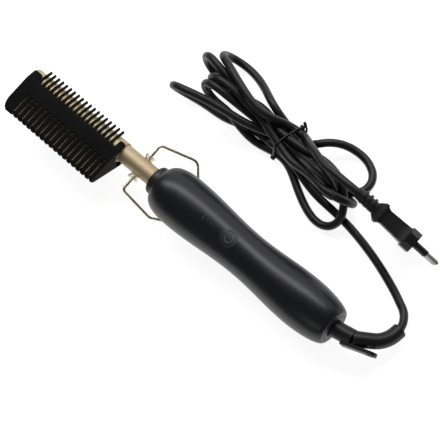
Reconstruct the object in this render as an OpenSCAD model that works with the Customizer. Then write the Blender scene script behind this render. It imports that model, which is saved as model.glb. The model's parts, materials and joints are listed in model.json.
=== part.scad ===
// Electric hot comb: a moulded handle, a heated barrel with comb teeth, a clip-on guard,
// a folding wire stand, and a mains cord in a tied bundle. Millimetres.
// The axis frame has +X along the barrel from the handle's rear rim, +Y level towards the
// teeth and +Z up through the button. placed() pitches it onto the resting surface, Z = 0.

/* [Handle] */
// Length of the two shells, from the rear rim to the collar
handle_len = 154.2; // [150:0.1:165]
// Radius at the rear rim
rim_r = 11.8; // [11.4:0.1:13]
// Radius of the rear bulge
rear_bulge_r = 17.75; // [17:0.05:19]
// Distance from the rim to the rear bulge
rear_bulge_x = 28; // [24:0.5:32]
// Radius of the waist under the button
waist_r = 15.4; // [14.8:0.1:16.4]
// Distance from the rim to the waist
waist_x = 75; // [70:0.5:80]
// Radius of the front bulge
front_bulge_r = 18.9; // [18:0.1:20]
// Distance from the collar back to the front bulge
front_bulge_back = 20.2; // [17:0.1:26]
// Radius where the shells meet the collar
shoulder_r = 10.6; // [10.2:0.1:11.4]
// Wall of the shells
shell_wall = 2.4; // [1.8:0.1:2.8]
// Length of the front collar
collar_len = 6; // [4:0.1:9]
// Radius of the front collar
collar_r = 10.45; // [9.8:0.05:11.2]
// Length of the rear ring, seated in the rim
rear_ring_len = 3; // [2:0.1:5]

/* [Button and lights] */
// Radius of the button cap
button_r = 5; // [4:0.1:5.8]
// Width of the bezel ring round the button
bezel_w = 1.3; // [0.8:0.1:2]
// Distance from the waist forward to the button
button_ahead = 12; // [8:0.5:16]
// Travel of the button
button_travel = 0.8; // [0.4:0.1:1]
// Radius of one indicator lens
lens_r = 0.8; // [0.5:0.1:1.2]
// Spacing of the indicator lenses
lens_pitch = 3.7; // [3:0.1:5]
// Distance from the button forward to the middle lens
lens_ahead = 19; // [15:0.5:22]

/* [Barrel and comb] */
// Outer radius of the barrel tube
tube_r = 6.6; // [6.2:0.05:7]
// Wall of the barrel tube
tube_wall = 1; // [0.8:0.05:1.2]
// Length of barrel tube seen between the collar and the comb body
tube_seen = 30; // [27:0.1:34]
// Outer radius of the comb body
comb_r = 7.3; // [7.1:0.05:7.8]
// Length of the comb body up to its end cap
comb_len = 87.8; // [87:0.1:93]
// Length of the rounded end cap
cap_len = 3.5; // [2.5:0.1:5]
// Roll of the comb head about the barrel, teeth above level
head_roll = 18; // [0:1:40]
// Reach of the gold teeth from the barrel's axis
tooth_reach = 28.2; // [24:0.1:32]
// Width of one gold tooth along the barrel
tooth_w = 1.9; // [1.4:0.05:2.2]

/* [Guard] */
// How far the guard reaches back past the comb body, over the barrel
guard_root_over = 0.6; // [0.2:0.1:2]
// How far the guard reaches past the end of the comb body, over its cap
guard_tip_over = 1.4; // [0.4:0.1:3]
// Half thickness of the guard across its band
guard_half = 8.4; // [8.35:0.05:9.2]
// How far the guard's teeth reach past the gold teeth
tooth_cover = 3.2; // [2.6:0.1:5]
// Distance from the axis at which the sides start to slope
guard_fold = 6; // [5:0.1:8]
// Half thickness at the tooth tips
guard_tip_half = 1.9; // [1.7:0.05:2.4]
// Wall of the guard
guard_wall = 1; // [0.8:0.05:1.05]
// Spacing of the guard's teeth
slot_pitch = 4.45; // [4.2:0.01:4.6]
// Width of one slot between guard teeth
slot_w = 1.4; // [1.2:0.05:2]
// Solid length of the guard before its first slot
slot_root_margin = 2.95; // [2:0.05:4]
// Least solid length of the guard after its last slot
slot_tip_margin = 9.4; // [6:0.1:12]
// Distance from the axis at which the slots start
slot_top = 14.3; // [13.5:0.1:17]
// Spacing of the fins over the barrel
fin_pitch = 3.96; // [3.8:0.01:4.1]
// Distance from the guard's rear end to its first fin
fin_root_margin = 9.3; // [7:0.1:10]
// Least distance from the last fin to the guard's front end
fin_tip_margin = 8.4; // [7:0.1:12]
// Width of a fin at its base
fin_base_w = 1.9; // [1.4:0.05:2.4]
// Width of a fin at its tip
fin_tip_w = 1.2; // [0.8:0.05:1.4]
// How far the fins reach past the barrel's axis
fin_reach = 9; // [7:0.1:11]

/* [Stand] */
// Diameter of the stand's wire
wire_d = 2; // [1.6:0.1:2.4]
// Distance from the comb body back to the stand's pivot
pivot_back = 16.9; // [12:0.1:19]
// Half width of the stand at its pivot
stand_half = 19.5; // [18:0.1:22]
// Half width of the stand at its rear corners
stand_rear_half = 25; // [23:0.1:27]
// Length of the stand from the pivot to its rear corners
stand_leg = 26.2; // [22:0.1:28]
// Length of the stand from the pivot to its cross piece
stand_len = 37; // [35:0.1:42]
// Half width of the straight part of the cross piece
cross_half = 16; // [12:0.1:18]
// Sideways lean of the stand's rear corners
stand_lean = 3; // [0:0.1:4]
// Gap between the folded stand and the handle's belly
stand_gap = 0.15; // [0.1:0.01:0.4]
// Radial clearance of the wire in its holes
wire_clear = 0.05; // [0.02:0.01:0.1]

/* [Cord] */
// Diameter of the cord
cord_d = 5.6; // [5:0.1:6.4]
// Radius of the boot where it leaves the handle
boot_r = 5.9; // [5.4:0.1:6.6]
// Length of the boot's neck behind the rim
neck_len = 14; // [10:0.5:16]
// Sideways turn of the boot's neck
neck_turn = 11; // [0:0.5:14]
// Radius of the boot's sleeve
sleeve_r = 5.1; // [4.6:0.1:5.4]
// Thickness of the hang tab
tab_t = 2.4; // [2:0.1:3]
// Height of the hang tab
tab_h = 9; // [8:0.1:10]
// Radius of the hole in the hang tab
tab_hole_r = 2.6; // [2.2:0.1:3]
// Height of the cord bundle at its folds
bundle_h = 31.2; // [26:0.1:34]
// Height of the cord bundle under its tie
waist_h = 18.3; // [15:0.1:24]

/* [Plug] */
// Half width of the plug's face
plug_half_w = 17.6; // [16:0.1:18]
// Half thickness of the plug's face
plug_half_t = 7; // [6.6:0.1:7.6]
// Length of the plug's face block
plug_face_len = 7; // [5:0.1:8]
// Length of the plug's grip behind the face block
plug_grip_len = 25.8; // [22:0.1:28]
// Radius of a contact pin
pin_r = 2; // [1.9:0.05:2.4]
// Length of a contact pin
pin_len = 19; // [17:0.1:20]
// Length of the sleeved part of a pin
sleeve_len = 10; // [6:0.1:12]
// Spacing of the pins
pin_pitch = 19; // [17.5:0.1:20]

/* [Hidden] */
$fn = 64;
fit = 0.1;                  // gap between pieces that are pushed together
seat = 0.05;                // gap between faces that bear on each other
rear_full = 1.85;           // roundness of the rear end of the handle
front_full = 2.4;           // roundness of the front shoulder
profile_step = 3;           // spacing of the handle's profile points

front_bulge_x = handle_len - front_bulge_back;
tube_start = front_bulge_x + 2;
tube_end = handle_len + collar_len + tube_seen;
comb_end = tube_end + comb_len;
tip_x = comb_end + cap_len;
guard_len = guard_root_over + comb_len + guard_tip_over;
guard_reach = tooth_reach + tooth_cover;
slot_room = guard_len - slot_root_margin - slot_tip_margin + slot_pitch - slot_w;
slot_count = floor(slot_room / slot_pitch);
fin_count = floor((guard_len - fin_root_margin - fin_tip_margin) / fin_pitch) + 1;
pivot_x = tube_end - pivot_back;
button_x = waist_x + button_ahead;
lens_x = button_x + lens_ahead;
wire_r = wire_d / 2;

// ---- handle profile ----
function mix(a, b, t) = a + (b - a) * t;
function ease(t) = (1 - cos(180 * t)) / 2;
function round_end(t, full) = pow(1 - pow(min(1, max(0, t)), full), 1 / full);
function handle_r(x) =
    x <= rear_bulge_x ? mix(rim_r, rear_bulge_r, round_end(1 - x / rear_bulge_x, rear_full)) :
    x <= waist_x ? mix(rear_bulge_r, waist_r, ease((x - rear_bulge_x) / (waist_x - rear_bulge_x))) :
    x <= front_bulge_x ? mix(waist_r, front_bulge_r,
        ease((x - waist_x) / (front_bulge_x - waist_x))) :
    mix(shoulder_r, front_bulge_r,
        round_end((x - front_bulge_x) / (handle_len - front_bulge_x), front_full));
function inner_r(x) = min(handle_r(x), handle_r(min(handle_len, x + shell_wall)),
    handle_r(max(0, x - shell_wall))) - shell_wall;
nose_step = 0.6;
nose_start = handle_len - 6;
outer_x = concat([0, 0.4, 1, 2], [for (x = [3.5 : profile_step : nose_start]) x],
    [for (x = [nose_start + nose_step : nose_step : handle_len]) x], [handle_len]);
cavity_start = rear_ring_len + shell_wall;
cavity_end = handle_len - shell_wall - 0.6;
inner_x = concat([cavity_start], [for (x = [cavity_start + 2 : profile_step : cavity_end - 5]) x],
    [for (x = [cavity_end - 4 : 1 : cavity_end]) x]);

// ---- resting pose: on the rear bulge and on the folded stand's cross piece ----
stand_drop = front_bulge_r + stand_gap + wire_d;
stand_angle = asin((front_bulge_r + stand_gap + wire_r) / stand_len);
cross_x = pivot_x - stand_len * cos(stand_angle);
pitch = atan((stand_drop - rear_bulge_r) / (cross_x - rear_bulge_x));
lowest_rear = min([for (x = outer_x) x * sin(pitch) - handle_r(x) * cos(pitch)]);
lowest_stand = cross_x * sin(pitch) - (stand_drop - wire_r) * cos(pitch) - wire_r;
base_z = -min(lowest_rear, lowest_stand);
back_x = -rim_r * sin(pitch);
front_x = tip_x * cos(pitch);
teeth_y = guard_reach * cos(head_roll) - 0.6;
stand_y = stand_rear_half + wire_r + stand_lean;
centre_x = (back_x + front_x) / 2;
centre_y = (teeth_y - stand_y) / 2;

module placed() {
    translate([-centre_x, -centre_y, base_z]) rotate([0, -pitch, 0]) children();
}

// ---- shared shapes ----
// Solid or ring of revolution about the X axis, from points [radius, x]
module revolve_x(points, from = 0, turn = 360) {
    rotate([0, 90, 0]) rotate([0, 0, from]) rotate_extrude(angle = turn) polygon(points);
}
module rod_x(r, x0, x1) {
    translate([x0, 0, 0]) rotate([0, 90, 0]) cylinder(r = r, h = x1 - x0);
}
module tube_x(r, bore, x0, x1) {
    difference() {
        rod_x(r, x0, x1);
        rod_x(bore, x0 - 1, x1 + 1);
    }
}
module rounded_plate(x0, x1, y0, y1, r) {
    translate([x0 + r, y0]) square([x1 - x0 - 2 * r, y1 - y0]);
    translate([x0, y0 + r]) square([x1 - x0, y1 - y0 - 2 * r]);
    for (x = [x0 + r, x1 - r], y = [y0 + r, y1 - r]) translate([x, y]) circle(r = r, $fn = 24);
}
// Round wire through flat points, with a bend of radius r[i] at each inner point. The bends
// are a hair thicker than the straight runs, which end inside them.
function unit(v) = v / norm(v);
function cross_z(a, b) = a[0] * b[1] - a[1] * b[0];
function bend_angle(p, i) = acos(unit(p[i] - p[i - 1]) * unit(p[i + 1] - p[i]));
function bend_cut(p, r, i) = i == 0 || i == len(p) - 1 ? 0 : r[i] * tan(bend_angle(p, i) / 2);
module flat_wire(p, d, r) {
    last = len(p) - 1;
    bite = 0.2;
    for (i = [0 : last - 1]) {
        dir = unit(p[i + 1] - p[i]);
        a = p[i] + dir * (i == 0 ? 0 : bend_cut(p, r, i) - bite);
        b = p[i + 1] - dir * (i == last - 1 ? 0 : bend_cut(p, r, i + 1) - bite);
        translate([a[0], a[1], 0]) rotate([0, 90, atan2(dir[1], dir[0])])
            cylinder(d = d, h = norm(b - a), $fn = 24);
    }
    for (i = [1 : last - 1]) {
        into = unit(p[i] - p[i - 1]);
        side = cross_z(into, unit(p[i + 1] - p[i])) > 0 ? 1 : -1;
        start = p[i] - into * bend_cut(p, r, i);
        centre = start + side * r[i] * [-into[1], into[0]];
        translate([centre[0], centre[1], 0])
            rotate([0, 0, atan2(start[1] - centre[1], start[0] - centre[0])
                - (side > 0 ? 0 : bend_angle(p, i))])
            rotate_extrude(angle = bend_angle(p, i)) translate([r[i], 0])
            circle(d = d + 0.04, $fn = 24);
    }
}
// Round tube swept through points in space, with a radius that runs from r0 to r1
module swept_tube(p, r0, r1, sides) {
    last = len(p) - 1;
    ring = [for (i = [0 : last]) let (
        t = unit(p[min(last, i + 1)] - p[max(0, i - 1)]),
        s = unit(cross(t, [0, 0, 1])),
        u = cross(s, t),
        r = mix(r0, r1, i / last))
        for (k = [0 : sides - 1]) p[i] + r * (cos(360 * k / sides) * s + sin(360 * k / sides) * u)];
    walls = [for (i = [0 : last - 1], k = [0 : sides - 1]) let (n = (k + 1) % sides)
        each [[i * sides + k, (i + 1) * sides + n, (i + 1) * sides + k],
            [i * sides + k, i * sides + n, (i + 1) * sides + n]]];
    caps = [[for (k = [sides - 1 : -1 : 0]) k], [for (k = [0 : sides - 1]) last * sides + k]];
    polyhedron(points = ring, faces = concat(walls, caps));
}
// Points along a smooth curve through the route's points
function curve_at(p, i, t) = let (
    a = p[max(0, i - 1)], b = p[i], c = p[i + 1], d = p[min(len(p) - 1, i + 2)])
    0.5 * (2 * b + (c - a) * t + (2 * a - 5 * b + 4 * c - d) * t * t
        + (3 * b - a - 3 * c + d) * t * t * t);
function smooth_route(p, steps) = concat(
    [for (i = [0 : len(p) - 2], k = [0 : steps - 1]) curve_at(p, i, k / steps)], [p[len(p) - 1]]);

// ---- handle ----
screw_ahead = 6;
screw_seats = [for (s = [[rear_bulge_x + screw_ahead, 9.5], [front_bulge_x - screw_ahead, 10.5]],
    side = [1, -1]) [s[0], side * s[1]]];
screw_r = 1.3;
screw_head_r = 2.6;
screw_head_z = -9;
module shell_half(from) {
    revolve_x(concat([for (x = outer_x) [handle_r(x), x]],
        [[tube_r + fit, handle_len], [tube_r + fit, cavity_end]],
        [for (i = [len(inner_x) - 1 : -1 : 0]) [inner_r(inner_x[i]), inner_x[i]]],
        [[boot_r + fit, cavity_start], [boot_r + fit, rear_ring_len],
        [rim_r - shell_wall * 0.7, rear_ring_len], [rim_r - shell_wall * 0.7, 0]]), from, 180);
}
module handle_shell_top() {
    color([0.09, 0.09, 0.1]) difference() {
        union() {
            shell_half(90);
            for (s = screw_seats) intersection() {
                translate([s[0], s[1], seat]) cylinder(r = 2.9, h = front_bulge_r);
                rod_x(min(handle_r(s[0]), handle_r(s[0] + 2)) - 1, s[0] - 4, s[0] + 4);
            }
        }
        for (s = screw_seats) translate([s[0], s[1], -1]) cylinder(r = screw_r + seat, h = 8);
        translate([button_x, 0, 0]) cylinder(r = button_r + bezel_w + seat, h = 30);
        for (i = [-1 : 1]) translate([lens_x + i * lens_pitch, 0, 0])
            cylinder(r = lens_r + seat, h = 30, $fn = 24);
    }
}
board_z = 5;
board_t = 1.6;
board_x0 = waist_x - 15;
board_x1 = max(front_bulge_x - 14, lens_x + 8);
board_half = sqrt(pow(waist_r - shell_wall, 2) - pow(board_z + board_t, 2)) - 1.2;
module handle_shell_bottom() {
    color([0.09, 0.09, 0.1]) difference() {
        union() {
            shell_half(-90);
            for (s = screw_seats) intersection() {
                translate([s[0], s[1], -front_bulge_r - 1]) cylinder(r = 3.4, h = front_bulge_r + 1);
                rod_x(min(handle_r(s[0]), handle_r(s[0] + 2)) - 1, s[0] - 4, s[0] + 4);
            }
            for (x = [board_x0 + 4, board_x1 - 4], y = [-1, 1])
                translate([x, y * (board_half - 2.2), -handle_r(x) + 1])
                cylinder(r = 1.6, h = board_z + handle_r(x) - 1 - seat, $fn = 24);
            for (y = [-1, 1]) translate([clamp_x, y * clamp_screw_y, -inner_r(clamp_x) + 0])
                cylinder(r = 2.4, h = inner_r(clamp_x) - cord_d / 2 - 0.4, $fn = 32);
        }
        for (s = screw_seats) {
            translate([s[0], s[1], -30]) cylinder(r = screw_r + 0.3, h = 40);
            translate([s[0], s[1], -30]) cylinder(r = screw_head_r + 0.2, h = 30 + screw_head_z);
        }
        for (y = [-1, 1]) translate([clamp_x, y * clamp_screw_y, -9]) cylinder(r = 1.05, h = 9);
    }
}
module handle_screws() {
    color([0.6, 0.6, 0.62]) for (s = screw_seats) translate([s[0], s[1], 0]) difference() {
        union() {
            translate([0, 0, screw_head_z - 1.8]) cylinder(r = screw_head_r, h = 1.8 - seat);
            translate([0, 0, screw_head_z - 1]) cylinder(r = screw_r, h = 15, $fn = 24);
        }
        for (a = [0, 90]) rotate([0, 0, a]) translate([-1.6, -0.35, screw_head_z - 2.8])
            cube([3.2, 0.7, 1.8]);
    }
}
module front_collar() {
    edge = 2;
    color([0.1, 0.1, 0.11]) revolve_x(concat([[tube_r + seat, handle_len + seat]],
        [for (a = [90 : -18 : 0]) [collar_r - 1 + cos(a), handle_len + seat + 1 - sin(a)]],
        [for (a = [0 : 15 : 90]) [collar_r - edge + edge * cos(a),
            handle_len + collar_len - edge + edge * sin(a)]],
        [[tube_r + seat, handle_len + collar_len]]));
}
module rear_ring() {
    outer = rim_r - shell_wall * 0.7 - seat;
    color([0.13, 0.13, 0.14]) revolve_x([[boot_r + fit, 0.4], [boot_r + fit, rear_ring_len - seat],
        [outer, rear_ring_len - seat], [outer, 0.3], [outer - 0.6, -0.3], [boot_r + 1, -0.3]]);
}

// ---- button, switch and indicators ----
switch_top = board_z + board_t + 3.5;
cap_floor = switch_top + 1.6;
module crown(grow, x0, x1) {
    revolve_x(concat([[0, x0]], [for (k = [0 : 12]) let (x = mix(x0, x1, k / 12))
        [handle_r(x) + grow, x]], [[0, x1]]));
}
module button_bezel() {
    color([0.05, 0.05, 0.06]) intersection() {
        crown(0.3, button_x - 10, button_x + 10);
        translate([button_x, 0, waist_r - shell_wall - 1.4]) difference() {
            cylinder(r = button_r + bezel_w, h = 12);
            translate([0, 0, -1]) cylinder(r = button_r + fit, h = 20);
        }
    }
}
module power_button() {
    color([0.07, 0.07, 0.08]) difference() {
        intersection() {
            crown(0.15, button_x - 10, button_x + 10);
            translate([button_x, 0, cap_floor]) cylinder(r = button_r, h = 12);
        }
        translate([button_x, 0, cap_floor - 1]) difference() {
            cylinder(r = button_r - 1, h = 1 + 1.4);
            translate([0, 0, -1]) cylinder(r = 1.75, h = 5, $fn = 32);
        }
    }
}
module switch_plunger() {
    color([0.85, 0.82, 0.75]) translate([button_x, 0, switch_top - 1.4])
        cylinder(r = 1.5, h = cap_floor - switch_top + 1.4 - seat, $fn = 32);
}
module tact_switch() {
    color([0.15, 0.15, 0.16]) difference() {
        translate([button_x - 3, -3, board_z + board_t + seat])
            cube([6, 6, switch_top - board_z - board_t - seat]);
        translate([button_x, 0, switch_top - 1.4 - button_travel - 0.2])
            cylinder(r = 1.5 + wire_clear, h = 10, $fn = 32);
    }
}
module indicator_lenses() {
    color([0.5, 0.5, 0.52]) intersection() {
        crown(0.05, lens_x - 10, lens_x + 10);
        for (i = [-1 : 1]) translate([lens_x + i * lens_pitch, 0, board_z + board_t + 1.3])
            cylinder(r = lens_r, h = 20, $fn = 24);
    }
}
module indicator_chips() {
    color([0.9, 0.88, 0.7]) for (i = [-1 : 1])
        translate([lens_x + i * lens_pitch - 1, -0.6, board_z + board_t + seat]) cube([2, 1.2, 1]);
}
module circuit_board() {
    color([0.05, 0.3, 0.15]) translate([board_x0, -board_half, board_z])
        cube([board_x1 - board_x0, 2 * board_half, board_t]);
}
module power_triac() {
    color([0.1, 0.1, 0.1]) translate([board_x0 + 14, -5, board_z - 4.6 - seat]) cube([14, 10, 4.6]);
}
module film_capacitor() {
    color([0.7, 0.2, 0.1]) translate([board_x0 + 34, -3, board_z - 9 - seat]) cube([13, 6, 9]);
}
module small_components() {
    color([0.4, 0.3, 0.2]) for (i = [0 : 3])
        translate([board_x0 + 8 + 3 * i, 0, board_z + board_t + 1.1 + seat]) rotate([90, 0, 0])
            cylinder(r = 1.1, h = 7, center = true, $fn = 24);
}

// ---- wiring and cord clamp in the handle ----
clamp_x = 17;
clamp_screw_y = 6;
wire_gap = 2;
lead_r = 0.9;
wire_z = board_z + board_t + lead_r + seat;
module side_wire(p, y) {
    translate([0, y, 0]) rotate([90, 0, 0]) flat_wire(p, 2 * lead_r, [0, 3, 3, 0]);
}
module heater_wires() {
    color([0.85, 0.85, 0.8]) for (y = [-1, 1])
        side_wire([[board_x1 - 4, wire_z], [board_x1 + 3, wire_z], [tube_start + 2, 0],
            [tube_end + 1, 0]], y * wire_gap);
}
module mains_wires() {
    color([0.2, 0.35, 0.7]) for (y = [-1, 1])
        side_wire([[clamp_x + 8, 0], [board_x0 - 10, 0], [board_x0 - 2, wire_z],
            [board_x0 + 5, wire_z]], y * wire_gap);
}
module cord_clamp() {
    color([0.8, 0.8, 0.76]) difference() {
        translate([clamp_x - 4, -clamp_screw_y - 3, -cord_d / 2 - 0.4 + seat])
            cube([8, 2 * clamp_screw_y + 6, cord_d + 2.4]);
        rod_x(cord_d / 2 + seat, clamp_x - 5, clamp_x + 5);
        translate([clamp_x - 5, -cord_d / 2 - seat, -cord_d]) cube([10, cord_d + 2 * seat, cord_d]);
        for (y = [-1, 1]) translate([clamp_x, y * clamp_screw_y, -10])
            cylinder(r = 1.2, h = 20, $fn = 24);
    }
}
module clamp_screws() {
    head_z = cord_d / 2 + 2 + 2 * seat;
    color([0.6, 0.6, 0.62]) for (y = [-1, 1]) translate([clamp_x, y * clamp_screw_y, 0]) {
        translate([0, 0, head_z]) cylinder(r = 2, h = 1.4, $fn = 32);
        translate([0, 0, -8]) cylinder(r = 1, h = head_z + 8.5, $fn = 24);
    }
}

// ---- barrel, comb body and heater ----
spigot_len = 6;
bore_r = tube_r - tube_wall - 1;
module barrel_mount() {
    mount_len = 9;
    x0 = tube_start;
    x1 = x0 + mount_len;
    xm = (x0 + x1) / 2;
    color([0.75, 0.7, 0.6]) revolve_x([[tube_r + seat, x0], [tube_r + seat, x1],
        [inner_r(x1) - fit, x1], [inner_r(xm) - fit, xm], [inner_r(x0) - fit, x0]]);
}
module barrel_tube() {
    color([0.8, 0.7, 0.52]) difference() {
        tube_x(tube_r, tube_r - tube_wall, tube_start, tube_end);
        translate([pivot_x, 0, 0]) rotate([90, 0, 0])
            cylinder(r = wire_r + wire_clear, h = 3 * tube_r, center = true, $fn = 32);
    }
}
module head() {
    rotate([head_roll, 0, 0]) children();
}
guard_x0 = tube_end - guard_root_over;
slots_x0 = guard_x0 + slot_root_margin;
function slot_x(i) = slots_x0 + slot_w / 2 + i * slot_pitch;
slope = (guard_half - guard_tip_half) / (guard_reach - guard_fold);
function outer_half(t) = guard_half - max(0, t - guard_fold) * slope;
function hollow_half(t) = outer_half(t) - guard_wall * 1.3;
blade_x0 = tube_end + 1.4;
blade_x1 = comb_end - 0.6;
module comb_body() {
    color([0.8, 0.7, 0.52]) difference() {
        union() {
            rod_x(comb_r, tube_end, comb_end);
            rod_x(tube_r - tube_wall - seat, tube_end - spigot_len, tube_end + 1);
            head() translate([blade_x0, 0, 0]) rotate([90, 0, 90])
                linear_extrude(blade_x1 - blade_x0) polygon(concat(
                    [for (t = [0, slot_top, tooth_reach]) [t, hollow_half(max(t, 9)) - 0.35]],
                    [for (t = [tooth_reach, slot_top, 0]) [t, 0.35 - hollow_half(max(t, 9))]]));
        }
        rod_x(bore_r, tube_end - spigot_len - 1, comb_end + 1);
        head() for (i = [0 : slot_count - 1])
            translate([slot_x(i) - (slot_pitch - tooth_w) / 2, slot_top + 1, -guard_half])
            cube([slot_pitch - tooth_w, guard_reach, 2 * guard_half]);
    }
}
module comb_end_cap() {
    round_r = cap_len - 0.6;
    x0 = comb_end;
    color([0.8, 0.7, 0.52]) revolve_x(concat([[0, x0 - 4], [bore_r - seat, x0 - 4],
        [bore_r - seat, x0 + seat], [comb_r, x0 + seat]],
        [for (a = [0 : 15 : 90]) [comb_r - round_r + round_r * cos(a), x0 + 0.6 + round_r * sin(a)]],
        [[0, tip_x]]));
}
module heater_plug() {
    color([0.85, 0.83, 0.78]) difference() {
        rod_x(bore_r - seat, tube_end + 2, tube_end + 7);
        for (y = [-1, 1]) translate([0, y * wire_gap, 0]) rod_x(0.6, tube_end, tube_end + 9);
    }
}
module heater_rod() {
    color([0.9, 0.9, 0.88]) rod_x(bore_r - fit, tube_end + 7 + seat, comb_end - 5);
}
module thermal_fuse() {
    fuse_r = 1.4;
    color([0.75, 0.75, 0.78])
        translate([0, 0, -(tube_r - tube_wall - fuse_r - seat)]) rod_x(fuse_r, pivot_x - 20, pivot_x - 9);
}

// ---- guard ----
fins_x0 = guard_x0 + fin_root_margin;
band_top = 3.6;
tab_top = -2.2;
module along_head(x0, x1) {
    translate([x0, 0, 0]) rotate([90, 0, 90]) linear_extrude(x1 - x0) children();
}
module slot_cutter(x) {
    tip_r = (slot_pitch - slot_w) / 2;
    edge_t = guard_reach - tip_r;
    translate([0, 0, -guard_half]) linear_extrude(2 * guard_half + 1) polygon(concat(
        [[x - slot_w / 2, slot_top]],
        [for (a = [0 : 15 : 90]) [x - slot_pitch / 2 + tip_r * cos(a), edge_t + tip_r * sin(a)]],
        [[x - slot_pitch / 2, guard_reach + 2], [x + slot_pitch / 2, guard_reach + 2]],
        [for (a = [90 : -15 : 0]) [x + slot_pitch / 2 - tip_r * cos(a), edge_t + tip_r * sin(a)]],
        [[x + slot_w / 2, slot_top]]));
}
module guard_wall_section() {
    tip_floor = tooth_reach + 0.4;
    tip_c = guard_reach - guard_tip_half;
    polygon(concat([[band_top, guard_half], [guard_fold, guard_half]],
        [for (a = [70 : -14 : 0]) [tip_c + guard_tip_half * cos(a), guard_tip_half * sin(a)]],
        [[tip_floor, 0], [tip_floor, hollow_half(tip_floor)],
        [guard_fold + 1, hollow_half(guard_fold + 1)], [guard_fold, guard_half - guard_wall],
        [band_top, guard_half - guard_wall]]));
}
module guard_end_section() {
    tip_c = guard_reach - guard_tip_half;
    polygon(concat([[8.6, 0], [8.6, outer_half(8.6) - 0.3]],
        [for (a = [70 : -14 : 0]) [tip_c + guard_tip_half * cos(a), guard_tip_half * sin(a)]]));
}
module fin_section() {
    polygon([[band_top + 0.5, guard_half], [-1, guard_half], [-fin_reach, guard_half - 0.9],
        [-fin_reach, guard_half - 2.6], [-1, comb_r - 0.6], [band_top + 0.5, guard_half - guard_wall]]);
}
module fin_outline(x) {
    polygon([[x - fin_base_w / 2, band_top + 0.4], [x + fin_base_w / 2, band_top + 0.4],
        [x + fin_tip_w / 2, fin_tip_w / 2 - fin_reach], [x - fin_tip_w / 2, fin_tip_w / 2 - fin_reach]]);
    translate([x, fin_tip_w / 2 - fin_reach]) circle(d = fin_tip_w, $fn = 24);
}
module guard_half_solid() {
    x1 = guard_x0 + guard_len;
    difference() {
        union() {
            difference() {
                along_head(guard_x0, x1) guard_wall_section();
                for (i = [0 : slot_count - 1]) slot_cutter(slot_x(i));
            }
            for (x = [guard_x0, x1 - 1.6]) along_head(x, x + 1.6) guard_end_section();
            translate([0, 0, guard_half - 2.2]) linear_extrude(2.2) {
                rounded_plate(guard_x0, guard_x0 + 5, tab_top, band_top + 2, 1.3);
                rounded_plate(x1 - 7.5, x1, tab_top, band_top + 2, 1.3);
            }
            intersection() {
                along_head(guard_x0 + 5, x1 - 5) fin_section();
                linear_extrude(2 * guard_half)
                    for (i = [0 : fin_count - 1]) fin_outline(fins_x0 + i * fin_pitch);
            }
        }
        rod_x(comb_r + fit, guard_x0 - 1, x1 + 1);
        translate([0, 0, -1]) linear_extrude(guard_half + 2) {
            front_corner_cut(x1);
            rear_corner_cut(guard_x0);
        }
    }
}
// Takes the corner off the guard's front end, where it meets the tooth tips
module front_corner_cut(x1) {
    polygon([[x1 + 1, guard_reach - 8], [x1, guard_reach - 7], [x1 - 0.4, guard_reach - 5.2],
        [x1 - 1.2, guard_reach - 2.9], [x1 - 2.3, guard_reach - 1.1], [x1 - 3.6, guard_reach - 0.2],
        [x1 - 4.6, guard_reach + 1], [x1 + 1, guard_reach + 1]]);
}
module rear_corner_cut(x0) {
    polygon([[x0 - 1, guard_reach - 3.2], [x0, guard_reach - 2.4], [x0 + 0.3, guard_reach - 1.2],
        [x0 + 1, guard_reach - 0.4], [x0 + 2, guard_reach - 0.05], [x0 + 2, guard_reach + 1],
        [x0 - 1, guard_reach + 1]]);
}
module guard_top_half() {
    color([0.06, 0.06, 0.07]) head() guard_half_solid();
}
module guard_bottom_half() {
    color([0.06, 0.06, 0.07]) head() mirror([0, 0, 1]) guard_half_solid();
}

// ---- stand ----
module stand_bracket(side) {
    base_half = 1.9;
    sheet = 0.9;
    ear_len = 2.9;
    flare = 15;
    r0 = tube_r + seat;
    width = 4.4;
    color([0.78, 0.7, 0.55]) translate([pivot_x, 0, 0]) mirror([0, side > 0 ? 0 : 1, 0])
        difference() {
            union() {
                intersection() {
                    tube_x(r0 + sheet, r0, -base_half, base_half);
                    translate([-5, 0, -width / 2]) cube([10, 2 * tube_r, width]);
                }
                for (m = [0, 1]) mirror([m, 0, 0])
                    translate([base_half - sheet * 0.5, r0 + 0.3, -width / 2])
                    rotate([0, 0, -flare]) {
                        cube([sheet, ear_len, width]);
                        translate([0, ear_len - 0.2, 0]) rotate([0, 0, -35]) cube([sheet, 1, width]);
                    }
            }
            rotate([90, 0, 0])
                cylinder(r = wire_r + wire_clear, h = 3 * tube_r, center = true, $fn = 32);
        }
}
module stand_bracket_left() {
    stand_bracket(1);
}
module stand_bracket_right() {
    stand_bracket(-1);
}
pivot_end = tube_r - tube_wall - 1.1;
module stand_wire() {
    near = [[0, pivot_end], [0, stand_half], [-stand_leg, stand_rear_half - stand_lean],
        [-stand_len, cross_half]];
    far = [[-stand_len, -cross_half], [-stand_leg, -stand_rear_half - stand_lean],
        [0, -stand_half], [0, -pivot_end]];
    color([0.75, 0.68, 0.52]) translate([pivot_x, 0, 0]) rotate([0, -stand_angle, 0])
        flat_wire(concat(near, far), wire_d, [0, 2.5, 6, 5, 5, 6, 2.5, 0]);
}

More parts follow.
